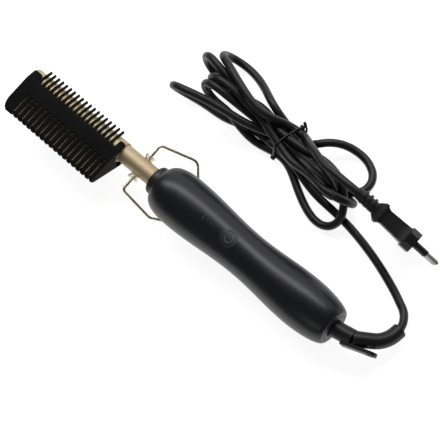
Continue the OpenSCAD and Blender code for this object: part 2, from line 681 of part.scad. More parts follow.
// ---- cord, bundle and plug, in the resting frame ----
rim_at = [-centre_x, -centre_y, base_z];
neck_dir = [cos(pitch) * cos(neck_turn), sin(neck_turn), sin(pitch)];
neck_end = rim_at - neck_len * neck_dir;
sleeve_route = [neck_end, neck_end + [-6, -4, -1.8], neck_end + [-12.5, -9.2, -4.6],
    neck_end + [-16, -15.8, -7.2], neck_end + [-16.8, -23.2, -9.6]];
lead_route = concat([sleeve_route[4]], [[-167, -34.5, 4], [-159, -39.5, 3], [-149, -44, 2.8],
    [-129, -51, 2.8], [-109, -56, 2.8], [-90, -59, 2.8]]);
tab_at = neck_end + [4.4, 7, -1.5];
tab_turn = 19;
tab_reach = 20;
module cord_boot() {
    color([0.07, 0.07, 0.08]) difference() {
        union() {
            placed() {
                rod_x(boot_r, -1, cavity_start + seat);
                rod_x(boot_r + 2.2, cavity_start + seat, cavity_start + 3);
                rotate([0, 0, neck_turn]) rod_x(boot_r - 0.1, -neck_len, 0);
            }
            swept_tube(smooth_route(sleeve_route, 3), sleeve_r + 0.2, sleeve_r, 20);
            hang_tab() {
                translate([0, -tab_h / 2, 0]) cube([tab_reach, tab_h, tab_t]);
                translate([tab_reach, 0, 0]) cylinder(d = tab_h, h = tab_t, $fn = 48);
            }
        }
        placed() rod_x(cord_d / 2 + seat, cavity_start, cavity_start + 4);
        hang_tab() translate([tab_reach, 0, -1]) cylinder(r = tab_hole_r, h = tab_t + 2);
    }
}
module hang_tab() {
    translate(tab_at) rotate([90, 0, tab_turn + 180]) translate([0, 0, -tab_t / 2]) children();
}
module cord_inlet() {
    color([0.1, 0.1, 0.11]) placed() rod_x(cord_d / 2, cavity_start + seat, clamp_x + 7);
}
module cord_lead() {
    color([0.06, 0.06, 0.07]) swept_tube(smooth_route(lead_route, 2), cord_d / 2, cord_d / 2, 8);
}
function arc(c, r, a0, a1) = [for (k = [0 : 6]) let (a = mix(a0, a1, k / 6)) c + r * [cos(a), sin(a)]];
bundle_z = 1.2;
fold_r = (bundle_h - bundle_z) / 2;
fold_z = bundle_z + fold_r;
tie_at = [-29.5, -74.9, 0];
module bundle_plan() {
    polygon(concat(arc([-80, -56.5], 13, 80, 180), arc([-82, -88.5], 14, 180, 280),
        [[-34, -87.2], [-25, -87.2]], arc([40, -93.5], 9.2, 260, 380),
        arc([54, -60.5], 7.5, -20, 100), [[-25, -62.6], [-34, -62.6]]));
}
module bundle_side() {
    polygon(concat(arc([46.5, fold_z], fold_r, -90, 90), [[4, bundle_h], [tie_at[0] + 3, waist_h],
        [tie_at[0] - 3, waist_h], [-66, bundle_h - 1]],
        arc([-97 + fold_r, fold_z], fold_r, 90, 270)));
}
module cord_bundle() {
    color([0.06, 0.06, 0.07]) intersection() {
        linear_extrude(bundle_h + 1) bundle_plan();
        rotate([90, 0, 0]) linear_extrude(200) bundle_side();
    }
}
module cord_tie() {
    half = 12.7;
    band = 1.2;
    color([0.1, 0.1, 0.1]) translate(tie_at) rotate([90, 0, 85])
        translate([0, 0, -band]) linear_extrude(2 * band) difference() {
            translate([-half - band, 0]) square([2 * (half + band), waist_h + band + seat]);
            translate([-half, bundle_z - seat]) square([2 * half, waist_h - bundle_z + 2 * seat]);
        }
}
plug_yaw = 178;
plug_dip = 20;
plug_roll = 3.5;
relief_len = 15.4;
face_x = relief_len + plug_grip_len;
front_face = face_x + plug_face_len;
plug_z = (front_face + pin_len) * sin(plug_dip) + (pin_pitch / 2 + pin_r) * cos(plug_dip) + 0.05;
plug_rear = [-99.3, -75, plug_z];
module plug_placed() {
    translate(plug_rear) rotate([0, 0, plug_yaw]) rotate([0, plug_dip, 0])
        rotate([plug_roll, 0, 0]) children();
}
tail_route = [[-40, -84, 14], [-48, -82, 21], [-58, -79, 28], [-70, -76, 32], [-82, -75.5, 34.5],
    [-90, -75, 35], plug_rear + [4, 0, 1.5], plug_rear];
module cord_tail() {
    color([0.06, 0.06, 0.07]) swept_tube(smooth_route(tail_route, 3), cord_d / 2, cord_d / 2, 8);
}
module plug_strain_relief() {
    color([0.07, 0.07, 0.08]) plug_placed() {
        revolve_x([[0, 0], [3.9, 0], [4.3, relief_len], [0, relief_len]]);
        for (i = [0 : 2]) translate([0, 0.45, 0]) rod_x(4.8, 4.3 + i * 3.7, 6.2 + i * 3.7);
    }
}
module plug_body() {
    broad = [[relief_len, 5.4], [relief_len + 3.8, 11.6], [relief_len + 5.2, 12],
        [relief_len + 8, 10.6], [face_x - 6, 12.2], [face_x, plug_half_w - 2.5], [face_x + 1, plug_half_w],
        [front_face, plug_half_w]];
    edge = [[relief_len, 4.6], [relief_len + 3.8, 7.3], [relief_len + 5.2, 7.2],
        [relief_len + 6, 5.9], [relief_len + 8.4, 5.1], [face_x, 5.7], [face_x, plug_half_t],
        [front_face, plug_half_t]];
    color([0.07, 0.07, 0.08]) plug_placed() intersection() {
        rotate([90, 0, 0]) translate([0, 0, -10]) linear_extrude(20)
            polygon(concat(broad, [for (i = [len(broad) - 1 : -1 : 0]) [broad[i][0], -broad[i][1]]]));
        translate([0, 0, -20]) linear_extrude(40)
            polygon(concat(edge, [for (i = [len(edge) - 1 : -1 : 0]) [edge[i][0], -edge[i][1]]]));
        rotate([90, 0, 90]) linear_extrude(front_face + 1) polygon([[-plug_half_t, -12.4],
            [-3.2, -plug_half_w], [3.2, -plug_half_w], [plug_half_t, -12.4],
            [plug_half_t, 12.4], [3.2, plug_half_w], [-3.2, plug_half_w], [-plug_half_t, 12.4]]);
    }
}
pin_x0 = front_face + seat;
pin_core_r = pin_r - 0.55;
module pin_sleeves() {
    color([0.07, 0.07, 0.08]) plug_placed() for (z = [-1, 1]) translate([0, 0, z * pin_pitch / 2])
        tube_x(pin_r, pin_core_r + seat, pin_x0, pin_x0 + sleeve_len);
}
module plug_pins() {
    color([0.85, 0.83, 0.8]) plug_placed() for (z = [-1, 1]) translate([0, 0, z * pin_pitch / 2]) {
        rod_x(pin_core_r, pin_x0, pin_x0 + sleeve_len + seat);
        rod_x(pin_r, pin_x0 + sleeve_len + seat, pin_x0 + pin_len - 1);
        rod_x(pin_r - 0.7, pin_x0 + pin_len - 1 - seat, pin_x0 + pin_len - seat);
    }
}

placed() handle_shell_top();
placed() handle_shell_bottom();
placed() front_collar();
placed() rear_ring();
placed() handle_screws();
placed() button_bezel();
placed() power_button();
placed() switch_plunger();
placed() tact_switch();
placed() indicator_lenses();
placed() indicator_chips();
placed() circuit_board();
placed() power_triac();
placed() film_capacitor();
placed() small_components();
placed() barrel_mount();
placed() barrel_tube();
placed() heater_wires();
placed() mains_wires();
placed() cord_clamp();
placed() clamp_screws();
placed() comb_body();
placed() comb_end_cap();
placed() heater_rod();
placed() heater_plug();
placed() thermal_fuse();
placed() guard_top_half();
placed() guard_bottom_half();
placed() stand_bracket_left();
placed() stand_bracket_right();
placed() stand_wire();
cord_inlet();
cord_boot();
cord_lead();
cord_bundle();
cord_tie();
cord_tail();
plug_strain_relief();
plug_body();
pin_sleeves();
plug_pins();
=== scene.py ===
import json
import math

import bpy
import numpy as np
from mathutils import Matrix, Vector
from mathutils.bvhtree import BVHTree


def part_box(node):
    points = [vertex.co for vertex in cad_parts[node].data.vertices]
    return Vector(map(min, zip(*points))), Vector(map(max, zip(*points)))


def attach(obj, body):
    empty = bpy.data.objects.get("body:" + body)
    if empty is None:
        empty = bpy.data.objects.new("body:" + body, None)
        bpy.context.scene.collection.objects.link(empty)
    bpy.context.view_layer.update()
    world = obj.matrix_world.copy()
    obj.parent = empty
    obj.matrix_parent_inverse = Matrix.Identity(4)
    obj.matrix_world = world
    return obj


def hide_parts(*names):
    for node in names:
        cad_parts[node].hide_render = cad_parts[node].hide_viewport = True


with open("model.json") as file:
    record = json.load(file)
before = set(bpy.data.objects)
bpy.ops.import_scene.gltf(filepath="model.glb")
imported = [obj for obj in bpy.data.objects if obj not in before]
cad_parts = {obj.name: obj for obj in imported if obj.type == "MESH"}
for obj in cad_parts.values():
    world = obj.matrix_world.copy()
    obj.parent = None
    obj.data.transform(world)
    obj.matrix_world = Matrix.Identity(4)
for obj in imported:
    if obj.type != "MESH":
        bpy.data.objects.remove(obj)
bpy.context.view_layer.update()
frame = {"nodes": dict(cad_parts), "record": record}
MM = 0.001
NODES = frame["nodes"]
scene = bpy.context.scene
scene.view_settings.view_transform = "Standard"

# ---- camera: a long lens above the comb, in the photograph's 440 by 440 frame ----
# The focal length is assumed. The tilt and the roll of the comb's axis are judged, and its
# slope and its distance from the picture's middle are read off the picture.
IMAGE_PX = 440
FOCAL_PX = 1600
SENSOR_MM = 36
CAMERA_DISTANCE = 1.0458
AXIS_TILT = math.radians(21.5)
AXIS_ROLL = math.radians(3)
AXIS_SLOPE = math.radians(39.74)
AXIS_ASIDE_PX = 9.9
HINGE_TO_MIDDLE = 0.0673
JOINTS = {joint["name"]: joint for joint in frame["record"]["behaviour"]["joints"]}
button_up = -np.array(JOINTS["button_press"]["axis"])
button_up = button_up / np.linalg.norm(button_up)
ahead = np.array((button_up[2], 0, -button_up[0]))
beside = np.cross(button_up, ahead)
facing = math.cos(AXIS_ROLL) * button_up + math.sin(AXIS_ROLL) * beside
# the two directions in the picture's plane: along the axis to the handle, and across it
to_handle = -math.cos(AXIS_TILT) * ahead - math.sin(AXIS_TILT) * facing
to_side = math.sin(AXIS_ROLL) * button_up - math.cos(AXIS_ROLL) * beside
CAMERA_BACK = math.cos(AXIS_TILT) * facing - math.sin(AXIS_TILT) * ahead
CAMERA_RIGHT = math.cos(AXIS_SLOPE) * to_handle + math.sin(AXIS_SLOPE) * to_side
CAMERA_DOWN = math.sin(AXIS_SLOPE) * to_handle - math.cos(AXIS_SLOPE) * to_side
middle_on_axis = np.array(JOINTS["stand_hinge"]["pos_m"]) - HINGE_TO_MIDDLE * ahead
CAMERA_AT = (middle_on_axis + CAMERA_DISTANCE * CAMERA_BACK
             + to_side * AXIS_ASIDE_PX * CAMERA_DISTANCE / FOCAL_PX)
lens = bpy.data.cameras.new("camera")
lens.sensor_width = SENSOR_MM
lens.lens = SENSOR_MM * FOCAL_PX / IMAGE_PX
camera = bpy.data.objects.new("camera", lens)
scene.collection.objects.link(camera)
turn = Matrix([[CAMERA_RIGHT[i], -CAMERA_DOWN[i], CAMERA_BACK[i]] for i in range(3)])
camera.matrix_world = Matrix.Translation(Vector(CAMERA_AT)) @ turn.to_4x4()
scene.camera = camera

# ---- materials ----
DRIFT_ENDS = (0.3, 0.7)
DRIFT_DETAIL = 4
GRAIN_DETAIL = 2
GRAIN_DEPTH = 0.00005
ROUGH_SPREAD = 0.06
LEAST_ROUGH = 0.02


def finish(name, dark, light, rough=0.4, metallic=0.0, spread=40.0, grain=0.0, grain_scale=3000.0,
           stretch=(1, 1, 1), specular=0.5, painted_shade=None):
    """A surface whose colour drifts between dark and light, with a fine grain in its relief.
    Its last argument gives two distances along +Y between which the colour is darkened to the last
    value, a painted shade."""
    material = bpy.data.materials.new(name)
    material.use_nodes = True
    tree = material.node_tree
    new, link = tree.nodes.new, tree.links.new
    shader = tree.nodes["Principled BSDF"]
    place = new("ShaderNodeTexCoord")
    mapping = new("ShaderNodeMapping")
    mapping.inputs["Scale"].default_value = stretch
    link(place.outputs["Object"], mapping.inputs["Vector"])
    drift = new("ShaderNodeTexNoise")
    drift.inputs["Scale"].default_value = spread
    drift.inputs["Detail"].default_value = DRIFT_DETAIL
    link(mapping.outputs["Vector"], drift.inputs["Vector"])
    ramp = new("ShaderNodeValToRGB")
    for element, end, colour in zip(ramp.color_ramp.elements, DRIFT_ENDS, (dark, light)):
        element.position = end
        element.color = (*colour, 1)
    link(drift.outputs["Fac"], ramp.inputs["Fac"])
    link(ramp.outputs["Color"], shader.inputs["Base Color"])
    # painted shade: the colour is scaled down along +Y between two distances
    if painted_shade:
        start, end, left = painted_shade
        parts = new("ShaderNodeSeparateXYZ")
        link(place.outputs["Object"], parts.inputs["Vector"])
        fade = new("ShaderNodeMapRange")
        fade.inputs["From Min"].default_value = start
        fade.inputs["From Max"].default_value = end
        fade.inputs["To Min"].default_value = 1
        fade.inputs["To Max"].default_value = left
        link(parts.outputs["Y"], fade.inputs["Value"])
        darkened = new("ShaderNodeVectorMath")
        darkened.operation = "SCALE"
        link(ramp.outputs["Color"], darkened.inputs[0])
        link(fade.outputs["Result"], darkened.inputs["Scale"])
        link(darkened.outputs["Vector"], shader.inputs["Base Color"])
    fine = new("ShaderNodeTexNoise")
    fine.inputs["Scale"].default_value = grain_scale
    fine.inputs["Detail"].default_value = GRAIN_DETAIL
    link(mapping.outputs["Vector"], fine.inputs["Vector"])
    spread_rough = new("ShaderNodeMapRange")
    spread_rough.inputs["To Min"].default_value = max(LEAST_ROUGH, rough - ROUGH_SPREAD)
    spread_rough.inputs["To Max"].default_value = min(1, rough + ROUGH_SPREAD)
    link(fine.outputs["Fac"], spread_rough.inputs["Value"])
    link(spread_rough.outputs["Result"], shader.inputs["Roughness"])
    if grain > 0:
        bump = new("ShaderNodeBump")
        bump.inputs["Strength"].default_value = grain
        bump.inputs["Distance"].default_value = GRAIN_DEPTH
        link(fine.outputs["Fac"], bump.inputs["Height"])
        link(bump.outputs["Normal"], shader.inputs["Normal"])
    shader.inputs["Metallic"].default_value = metallic
    shader.inputs["Specular IOR Level"].default_value = specular
    return material


FINISHES = {
    "handle_black": finish("handle_black", (0.0050, 0.0058, 0.0085), (0.0072, 0.0082, 0.0115), 0.34,
                           grain=0.15, grain_scale=4000),
    "collar_black": finish("collar_black", (0.008, 0.008, 0.009), (0.012, 0.012, 0.013), 0.4,
                           grain=0.15, grain_scale=4000),
    "button_black": finish("button_black", (0.020, 0.021, 0.025), (0.026, 0.027, 0.031), 0.42,
                           grain=0.1, grain_scale=4000),
    "symbol_grey": finish("symbol_grey", (0.165, 0.167, 0.178), (0.2, 0.202, 0.213), 0.4),
    "clear_lens": finish("clear_lens", (0.012, 0.013, 0.016), (0.02, 0.021, 0.024), 0.4),
    "screw_steel": finish("screw_steel", (0.42, 0.42, 0.43), (0.55, 0.55, 0.56), 0.32, 1.0,
                          grain=0.2),
    "white_plastic": finish("white_plastic", (0.72, 0.71, 0.67), (0.8, 0.79, 0.76), 0.45),
    "black_plastic": finish("black_plastic", (0.015, 0.015, 0.016), (0.025, 0.025, 0.026), 0.4),
    "chip_yellow": finish("chip_yellow", (0.75, 0.62, 0.25), (0.85, 0.75, 0.4), 0.35),
    "board_green": finish("board_green", (0.02, 0.11, 0.05), (0.03, 0.16, 0.07), 0.4, spread=400),
    "capacitor_red": finish("capacitor_red", (0.42, 0.1, 0.04), (0.5, 0.14, 0.06), 0.35),
    "resistor_tan": finish("resistor_tan", (0.45, 0.32, 0.18), (0.55, 0.42, 0.26), 0.5),
    "ceramic": finish("ceramic", (0.74, 0.72, 0.68), (0.82, 0.8, 0.77), 0.6),
    # the gold is darkened along +Y from 6 to 9.5 mm, where it runs into the guard: painted shade
    # standing in for the shade in the guard's slots
    "gold_aluminium": finish("gold_aluminium", (0.55, 0.45, 0.29), (0.63, 0.52, 0.35), 0.6, 1.0,
                             spread=60, grain=0.25, grain_scale=2500, stretch=(0.25, 1, 1),
                             painted_shade=(0.0060, 0.0095, 0.85)),
    "lead_rubber": finish("lead_rubber", (0.6, 0.58, 0.54), (0.7, 0.68, 0.63), 0.5),
    "mains_rubber": finish("mains_rubber", (0.05, 0.12, 0.35), (0.07, 0.16, 0.42), 0.5),
    "clamp_nylon": finish("clamp_nylon", (0.6, 0.6, 0.56), (0.68, 0.68, 0.64), 0.5),
    "fuse_metal": finish("fuse_metal", (0.5, 0.48, 0.44), (0.6, 0.58, 0.54), 0.3, 1.0),
    "guard_black": finish("guard_black", (0.0024, 0.0024, 0.0028), (0.004, 0.004, 0.0045), 0.5,
                          grain=0.3, grain_scale=3500, specular=0.06),
    "wire_brass": finish("wire_brass", (0.62, 0.57, 0.42), (0.75, 0.69, 0.54), 0.26, 1.0,
                         spread=120),
    "cord_black": finish("cord_black", (0.005, 0.005, 0.0063), (0.0085, 0.0085, 0.01), 0.42,
                         grain=0.2, grain_scale=2500, specular=0.44),
    "plug_black": finish("plug_black", (0.0045, 0.0045, 0.0058), (0.0075, 0.0075, 0.009), 0.42,
                         grain=0.25, grain_scale=2500, specular=0.42),
    "tie_black": finish("tie_black", (0.010, 0.010, 0.010), (0.02, 0.02, 0.02), 0.35),
    "pin_nickel": finish("pin_nickel", (0.6, 0.58, 0.55), (0.72, 0.7, 0.67), 0.2, 1.0),
}


# ---- pieces ----
def link_piece(name, data, body, slot, replaced=()):
    """A piece on a body, with its finish and with the CAD nodes that it replaces."""
    piece = bpy.data.objects.new(name, data)
    scene.collection.objects.link(piece)
    data.materials.append(FINISHES[slot])
    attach(piece, body)
    if replaced:
        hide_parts(*replaced)
    return piece


def round_curve(name, radius, around, between):
    """An empty curve of a round section, with the detail around it and between its knots."""
    data = bpy.data.curves.new(name, "CURVE")
    data.dimensions = "3D"
    data.bevel_depth = radius * MM
    data.bevel_resolution = around
    data.resolution_u = between
    data.use_fill_caps = True
    return data


def add_strand(data, points, cyclic=False):
    """One smooth spline through points in mm."""
    spline = data.splines.new("BEZIER")
    spline.bezier_points.add(len(points) - 1)
    spline.use_cyclic_u = cyclic
    for knot, p in zip(spline.bezier_points, points):
        knot.co = Vector(p) * MM
        knot.handle_left_type = knot.handle_right_type = "AUTO"


# ---- cord: its free ends are routes, and its hank is folded here run by run, then laid ----
CORD_MM = 5.6
BEND_MM = 12.8
FOLD_MM = 11.8
FOLD_ANGLES = range(-90, 91, 30)
STEP_MM = 2.8
KNOT_MM = 7
SAMPLES = 12
EXIT = (-171.2, -25.6, 7.2)
LEAD_ROUTE = [(-167, -34.5, 4), (-159, -39.5, 3), (-149, -44, 2.8), (-129, -51, 2.8),
              (-109, -56, 2.8), (-90, -59, 2.8)]
TAIL_ROUTE = [(-40, -84, 14), (-48, -82, 21), (-58, -79, 28), (-70, -76, 32), (-82, -75.5, 34.5),
              (-90, -75, 35), (-95.3, -75, 35.3), (-99.3, -75, 33.8)]
TIE_MIDDLE = (286.5, 143.5, 7.6)
TIE_ALONG = np.array((0.998, 0.03, 0))
TIE_ACROSS = np.array((0.10, 0.995, 0))
TIE_REACH_MM = 8
LAYER_RISE = 0.86
LEVEL = (1, 1, 0)

# The hank's runs in the order of the cord. Each pick is a column and a row in the photograph, picked
# off enlarged crops, with a judged height in mm. A tip and a root have a column and a row.
LEAD_TO_TIE = ((325, 201, 3), (314, 190, 4), (303, 177, 5), (293, 164, 6.5))
LONG_LOOP_OUT = ((262, 139, 4.5), (243, 124, 3), (225, 113, 2.8), (208, 104, 2.8))
LONG_LOOP_TIP = (174, 86)
LONG_LOOP_ROOT = (243, 124)
LONG_LOOP_BACK = ((208, 101, 24), (225, 110, 21.5), (243, 121, 18.5), (261, 134, 15.5))
INNER_FOLD_OUT = ((300, 157, 15), (312, 168, 20))
INNER_FOLD_TIP = (335.5, 195)
INNER_FOLD_ROOT = (305, 162)
INNER_FOLD_BACK = ((313, 175, 4), (301, 160, 6))
SECOND_LOOP_OUT = ((270, 127, 9), (257, 117, 12), (243, 109, 17))
SECOND_LOOP_TIP = (205.5, 88)
SECOND_LOOP_ROOT = (240, 112)
SECOND_LOOP_BACK = ((235, 122, 6.5), (253, 135, 4.5))
FLAT_LOOP = ((283, 163, 3), (289, 173, 2.8), (295, 186, 2.8), (305, 200, 2.8), (316, 215, 2.8),
             (325, 223, 4), (333, 225, 6.5), (340, 222, 8.8), (344, 216, 9.5), (345, 206, 12),
             (343, 196, 15), (339, 184, 18), (332, 172, 20), (322, 160, 20), (310, 150, 19))
FAR_LOOP_OUT = ((270, 123, 15), (257, 110, 18), (244, 97, 21), (234, 85, 24))
FAR_LOOP_TIP = (206, 58.5)
FAR_LOOP_ROOT = (238, 92)
FAR_LOOP_BACK = ((234, 94, 3.5), (248, 106, 5), (261, 117, 6))
SMALL_FOLD_OUT = ((301, 155, 6), (313, 168, 4.5), (324, 180, 3))
SMALL_FOLD_TIP = (348.5, 206)
SMALL_FOLD_ROOT = (324, 181)
SMALL_FOLD_BACK = ((324, 186, 21), (311, 172, 17))
BETWEEN_LOOP_OUT = ((268, 121, 18), (255, 109, 20), (243, 99, 23))
BETWEEN_LOOP_TIP = (213, 77.5)
BETWEEN_LOOP_ROOT = (243, 99)
BETWEEN_LOOP_BACK = ((241, 92, 2.8), (251, 99, 2.8), (260, 106, 2.8), (268, 113, 2.8),
                     (275, 122, 2.8))
WIDE_LOOP = ((309, 160, 3.5), (322, 173, 4), (334, 185, 5), (345, 193, 6.5), (354, 195, 6.5),
             (364, 191, 5.5), (369, 184, 4), (370, 175, 3.2), (367, 165, 2.8), (358, 157, 2.8),
             (346, 150, 3), (332, 146, 5), (317, 143, 8), (305, 139, 11))
OUTER_LOOP_OUT = ((283, 121, 10), (275, 107, 7.5), (267, 93, 5), (258, 81, 3.6), (248, 69, 2.8))
OUTER_LOOP_TIP = (226.5, 56)
OUTER_LOOP_ROOT = (262, 97)
OUTER_LOOP_BACK = ((240, 88, 24), (252, 102, 22), (265, 115, 20.5), (276, 126, 19.5))
TIE_TAIL = ((304.4, 136, 8.5), (306.8, 129.5, 10.5), (304.4, 122, 13.5))


def seen(px, py, height):
    """The point in mm that the camera shows at a pixel, at a height above the surface."""
    ray = (CAMERA_RIGHT * (px - IMAGE_PX / 2) + CAMERA_DOWN * (py - IMAGE_PX / 2)
           - CAMERA_BACK * FOCAL_PX)
    at = CAMERA_AT / MM
    return at + ray * (height - at[2]) / ray[2]


route = [np.array(p, float) for p in [EXIT, *LEAD_ROUTE]]


def along(picks):
    """A run through picked pixels, each with its height."""
    route.extend(seen(*pick) for pick in picks)


def bound(column, row, way):
    """A strand's place in the tie, where the strands lie like stacked logs. way is 1 or -1."""
    middle = seen(*TIE_MIDDLE) * LEVEL + TIE_ACROSS * column * CORD_MM / 2
    middle = middle + (0, 0, CORD_MM / 2 + row * CORD_MM * LAYER_RISE)
    route.append(middle - TIE_ALONG * TIE_REACH_MM * way)
    route.append(middle + TIE_ALONG * TIE_REACH_MM * way)


def fold(tip, root, lean_degrees, rising):
    """Half a turn whose outermost point shows at the tip's pixel, seen from the root's."""
    lean = math.radians(lean_degrees)
    centre_up = CORD_MM / 2 + FOLD_MM * math.cos(lean)
    start = seen(*root, centre_up)
    end = seen(*tip, centre_up)
    out = (end - start) / np.linalg.norm(end - start)
    plane_up = CAMERA_BACK - out * (CAMERA_BACK @ out)
    plane_up = plane_up / np.linalg.norm(plane_up)
    side = np.cross(plane_up, out)
    rise = plane_up * math.cos(lean) + side * math.sin(lean)
    seen_out = out - CAMERA_BACK * (out @ CAMERA_BACK)
    seen_out = seen_out / np.linalg.norm(seen_out)
    reach = FOLD_MM * math.hypot(out @ seen_out, rise @ seen_out) / (out @ seen_out)
    centre = end - out * reach
    for degrees in FOLD_ANGLES:
        a = math.radians(degrees) * rising
        route.append(centre + FOLD_MM * (math.cos(a) * out + math.sin(a) * rise))


# the lead's way into the tie, and the long loop behind it
along(LEAD_TO_TIE)
bound(2, 1, 1)
along(LONG_LOOP_OUT)
fold(LONG_LOOP_TIP, LONG_LOOP_ROOT, 0, 1)
along(LONG_LOOP_BACK)
bound(0, 1, -1)
# the inner fold on the plug's side
along(INNER_FOLD_OUT)
fold(INNER_FOLD_TIP, INNER_FOLD_ROOT, 4, -1)
along(INNER_FOLD_BACK)
bound(1, 0, 1)
# the second loop
along(SECOND_LOOP_OUT)
fold(SECOND_LOOP_TIP, SECOND_LOOP_ROOT, -24, -1)
along(SECOND_LOOP_BACK)
bound(3, 0, -1)
# the large flat loop beside the lead
along(FLAT_LOOP)
bound(-1, 2, 1)
# the far loop
along(FAR_LOOP_OUT)
fold(FAR_LOOP_TIP, FAR_LOOP_ROOT, -16, -1)
along(FAR_LOOP_BACK)
bound(-2, 1, -1)
# the small fold beside the plug's lead
along(SMALL_FOLD_OUT)
fold(SMALL_FOLD_TIP, SMALL_FOLD_ROOT, -14, 1)
along(SMALL_FOLD_BACK)
bound(1, 2, 1)
# the loop between
along(BETWEEN_LOOP_OUT)
fold(BETWEEN_LOOP_TIP, BETWEEN_LOOP_ROOT, 0, -1)
along(BETWEEN_LOOP_BACK)
bound(-1, 0, -1)
# the wide loop out and back on the far side
along(WIDE_LOOP)
bound(-3, 0, 1)
# the outer loop, whose top run goes to the plug
along(OUTER_LOOP_OUT)
fold(OUTER_LOOP_TIP, OUTER_LOOP_ROOT, 22, 1)
along(OUTER_LOOP_BACK)
bound(-3, 2, -1)
route.extend(np.array(p, float) for p in TAIL_ROUTE)


def spaced(points, step):
    """The same line with its points a step apart."""
    at = np.concatenate([[0], np.cumsum(np.linalg.norm(np.diff(points, axis=0), axis=1))])
    places = np.linspace(0, at[-1], int(round(at[-1] / step)) + 1)
    return np.array([np.interp(places, at, points[:, k]) for k in range(3)]).T


def smooth_run(points, step):
    """Points a step apart along a centripetal curve through the given ones."""
    ends = np.vstack([2 * points[0] - points[1], points, 2 * points[-1] - points[-2]])
    fine = []
    for i in range(len(points) - 1):
        p = ends[i:i + 4]
        t = np.concatenate([[0], np.cumsum(np.sqrt(np.linalg.norm(np.diff(p, axis=0), axis=1)))])
        for s in np.linspace(t[1], t[2], SAMPLES, endpoint=False):
            a = [((t[k + 1] - s) * p[k] + (s - t[k]) * p[k + 1]) / (t[k + 1] - t[k])
                 for k in range(3)]
            b = [((t[k + 2] - s) * a[k] + (s - t[k]) * a[k + 1]) / (t[k + 2] - t[k])
                 for k in range(2)]
            fine.append(((t[2] - s) * b[0] + (s - t[1]) * b[1]) / (t[2] - t[1]))
    fine.append(points[-1])
    return spaced(np.array(fine), step)


# how the strands are laid: which points may touch, how often the close ones are looked for again,
# and what share of each fault a round takes away
NEIGHBOURS_MM = 14
LOOK_BEYOND_MM = 3.5
LOOK_EVERY = 12
PUSHES = 2
PUSH_SHARE = 0.35
PUSH_MORE = 1.5
BEND_SPANS = (1, 2, 3, 4)
BEND_SHARE = 0.35
SLACK_SHARE = 0.25
HEIGHT_PULL = 0.3
TINY = 1e-6
# the four stages: rounds, pull back to the wanted line, stiffness, and distance between strands
LAYS = ((500, 0.02, 0.5, 5.72), (700, 0.008, 0.5, 5.72), (1500, 0.001, 0.4, 5.78),
        (1500, 0.0003, 0.25, 5.8))


def close_pairs(points, reach, step):
    """Pairs of points nearer than the reach that aren't neighbours along the cord."""
    a, b = np.triu_indices(len(points), int(NEIGHBOURS_MM / step) + 1)
    near = ((points[a] - points[b]) ** 2).sum(axis=1) < reach ** 2
    return a[near], b[near]


def pushed_apart(points, a, b, gap):
    """The points, with the close pairs moved towards the distance that a cord needs."""
    count = len(points)
    between = points[b] - points[a]
    apart = np.maximum(np.linalg.norm(between, axis=1), TINY)
    hit = apart < gap
    push = ((gap - apart[hit]) / apart[hit] * PUSH_SHARE)[:, None] * between[hit]
    total = np.zeros_like(points)
    for k in range(3):
        total[:, k] = (np.bincount(b[hit], push[:, k], count)
                       - np.bincount(a[hit], push[:, k], count))
    shares = np.bincount(a[hit], minlength=count) + np.bincount(b[hit], minlength=count)
    return points + total / np.maximum(shares, 1)[:, None] * PUSH_MORE


def unkinked(points, stiffness):
    """The points, with a share of each change of bend taken away."""
    sag = np.zeros_like(points)
    sag[1:-1] = (points[:-2] + points[2:]) / 2 - points[1:-1]
    kink = np.zeros_like(points)
    kink[1:-1] = (sag[:-2] + sag[2:]) / 2 - sag[1:-1]
    return points - stiffness * kink


def eased(points, span, step):
    """The points, with bends tighter than the cord allows opened over a span of points."""
    bow = (points[:-2 * span] + points[2 * span:]) / 2 - points[span:-span]
    size = np.linalg.norm(bow, axis=1)
    over = np.maximum(0, size - (span * step) ** 2 / (2 * BEND_MM)) / np.maximum(size, 1e-9)
    ease = bow * over[:, None] * BEND_SHARE
    points = points.copy()
    points[span:-span] += ease
    points[:-2 * span] -= ease / 2
    points[2 * span:] -= ease / 2
    return points


def lay(points, wanted, held, rounds, pull, stiffness, gap, step):
    """Strands pushed apart to the cord's thickness, bent no tighter than the cord allows."""
    pull = np.array((pull, pull, pull * HEIGHT_PULL))
    for turn in range(rounds):
        if turn % LOOK_EVERY == 0:
            a, b = close_pairs(points, gap + LOOK_BEYOND_MM, step)
        for _ in range(PUSHES):
            points = pushed_apart(points, a, b, gap)
        points = unkinked(points, stiffness)
        for span in BEND_SPANS:
            points = eased(points, span, step)
        link = np.diff(points, axis=0)
        size = np.linalg.norm(link, axis=1)
        slack = ((size - step) / size * SLACK_SHARE)[:, None] * link
        points[:-1] += slack
        points[1:] -= slack
        points += pull * (wanted - points)
        points[:, 2] = np.maximum(points[:, 2], CORD_MM / 2)
        points[held] = wanted[held]
    return points


wanted = smooth_run(np.array(route), STEP_MM)
held = np.zeros(len(wanted), bool)
held[:np.argmin(np.linalg.norm(wanted - LEAD_ROUTE[-2], axis=1))] = True
held[np.argmin(np.linalg.norm(wanted - TAIL_ROUTE[1], axis=1)):] = True
laid = wanted
for rounds, pull, stiffness, gap in LAYS:
    laid = lay(laid, wanted, held, rounds, pull, stiffness, gap, STEP_MM)
cord_data = round_curve("cord", CORD_MM / 2, 6, 8)
add_strand(cord_data, spaced(laid, KNOT_MM))
cord = link_piece("cord", cord_data, "handle", "cord_black", ["cord_lead", "cord_bundle", "cord_tail"])

# ---- tie: a thin wire round the strands, knotted on both sides, with a twisted tail ----
WIRE_MM = 0.62
BAND_POINTS = 28
BAND_REACH_MM = 20
BAND_SLANT = 0.12
KNOT_POINTS = 24
KNOT_DEPTH = 1.3
FAR_KNOT_MM = 0.52
FAR_KNOT_OUT_MM = 0.8
NEAR_KNOT_MM = 0.46
NEAR_KNOT_OUT_MM = 0.6
TWIST_TURN = 2.6
TWIST_HALF_MM = 0.5


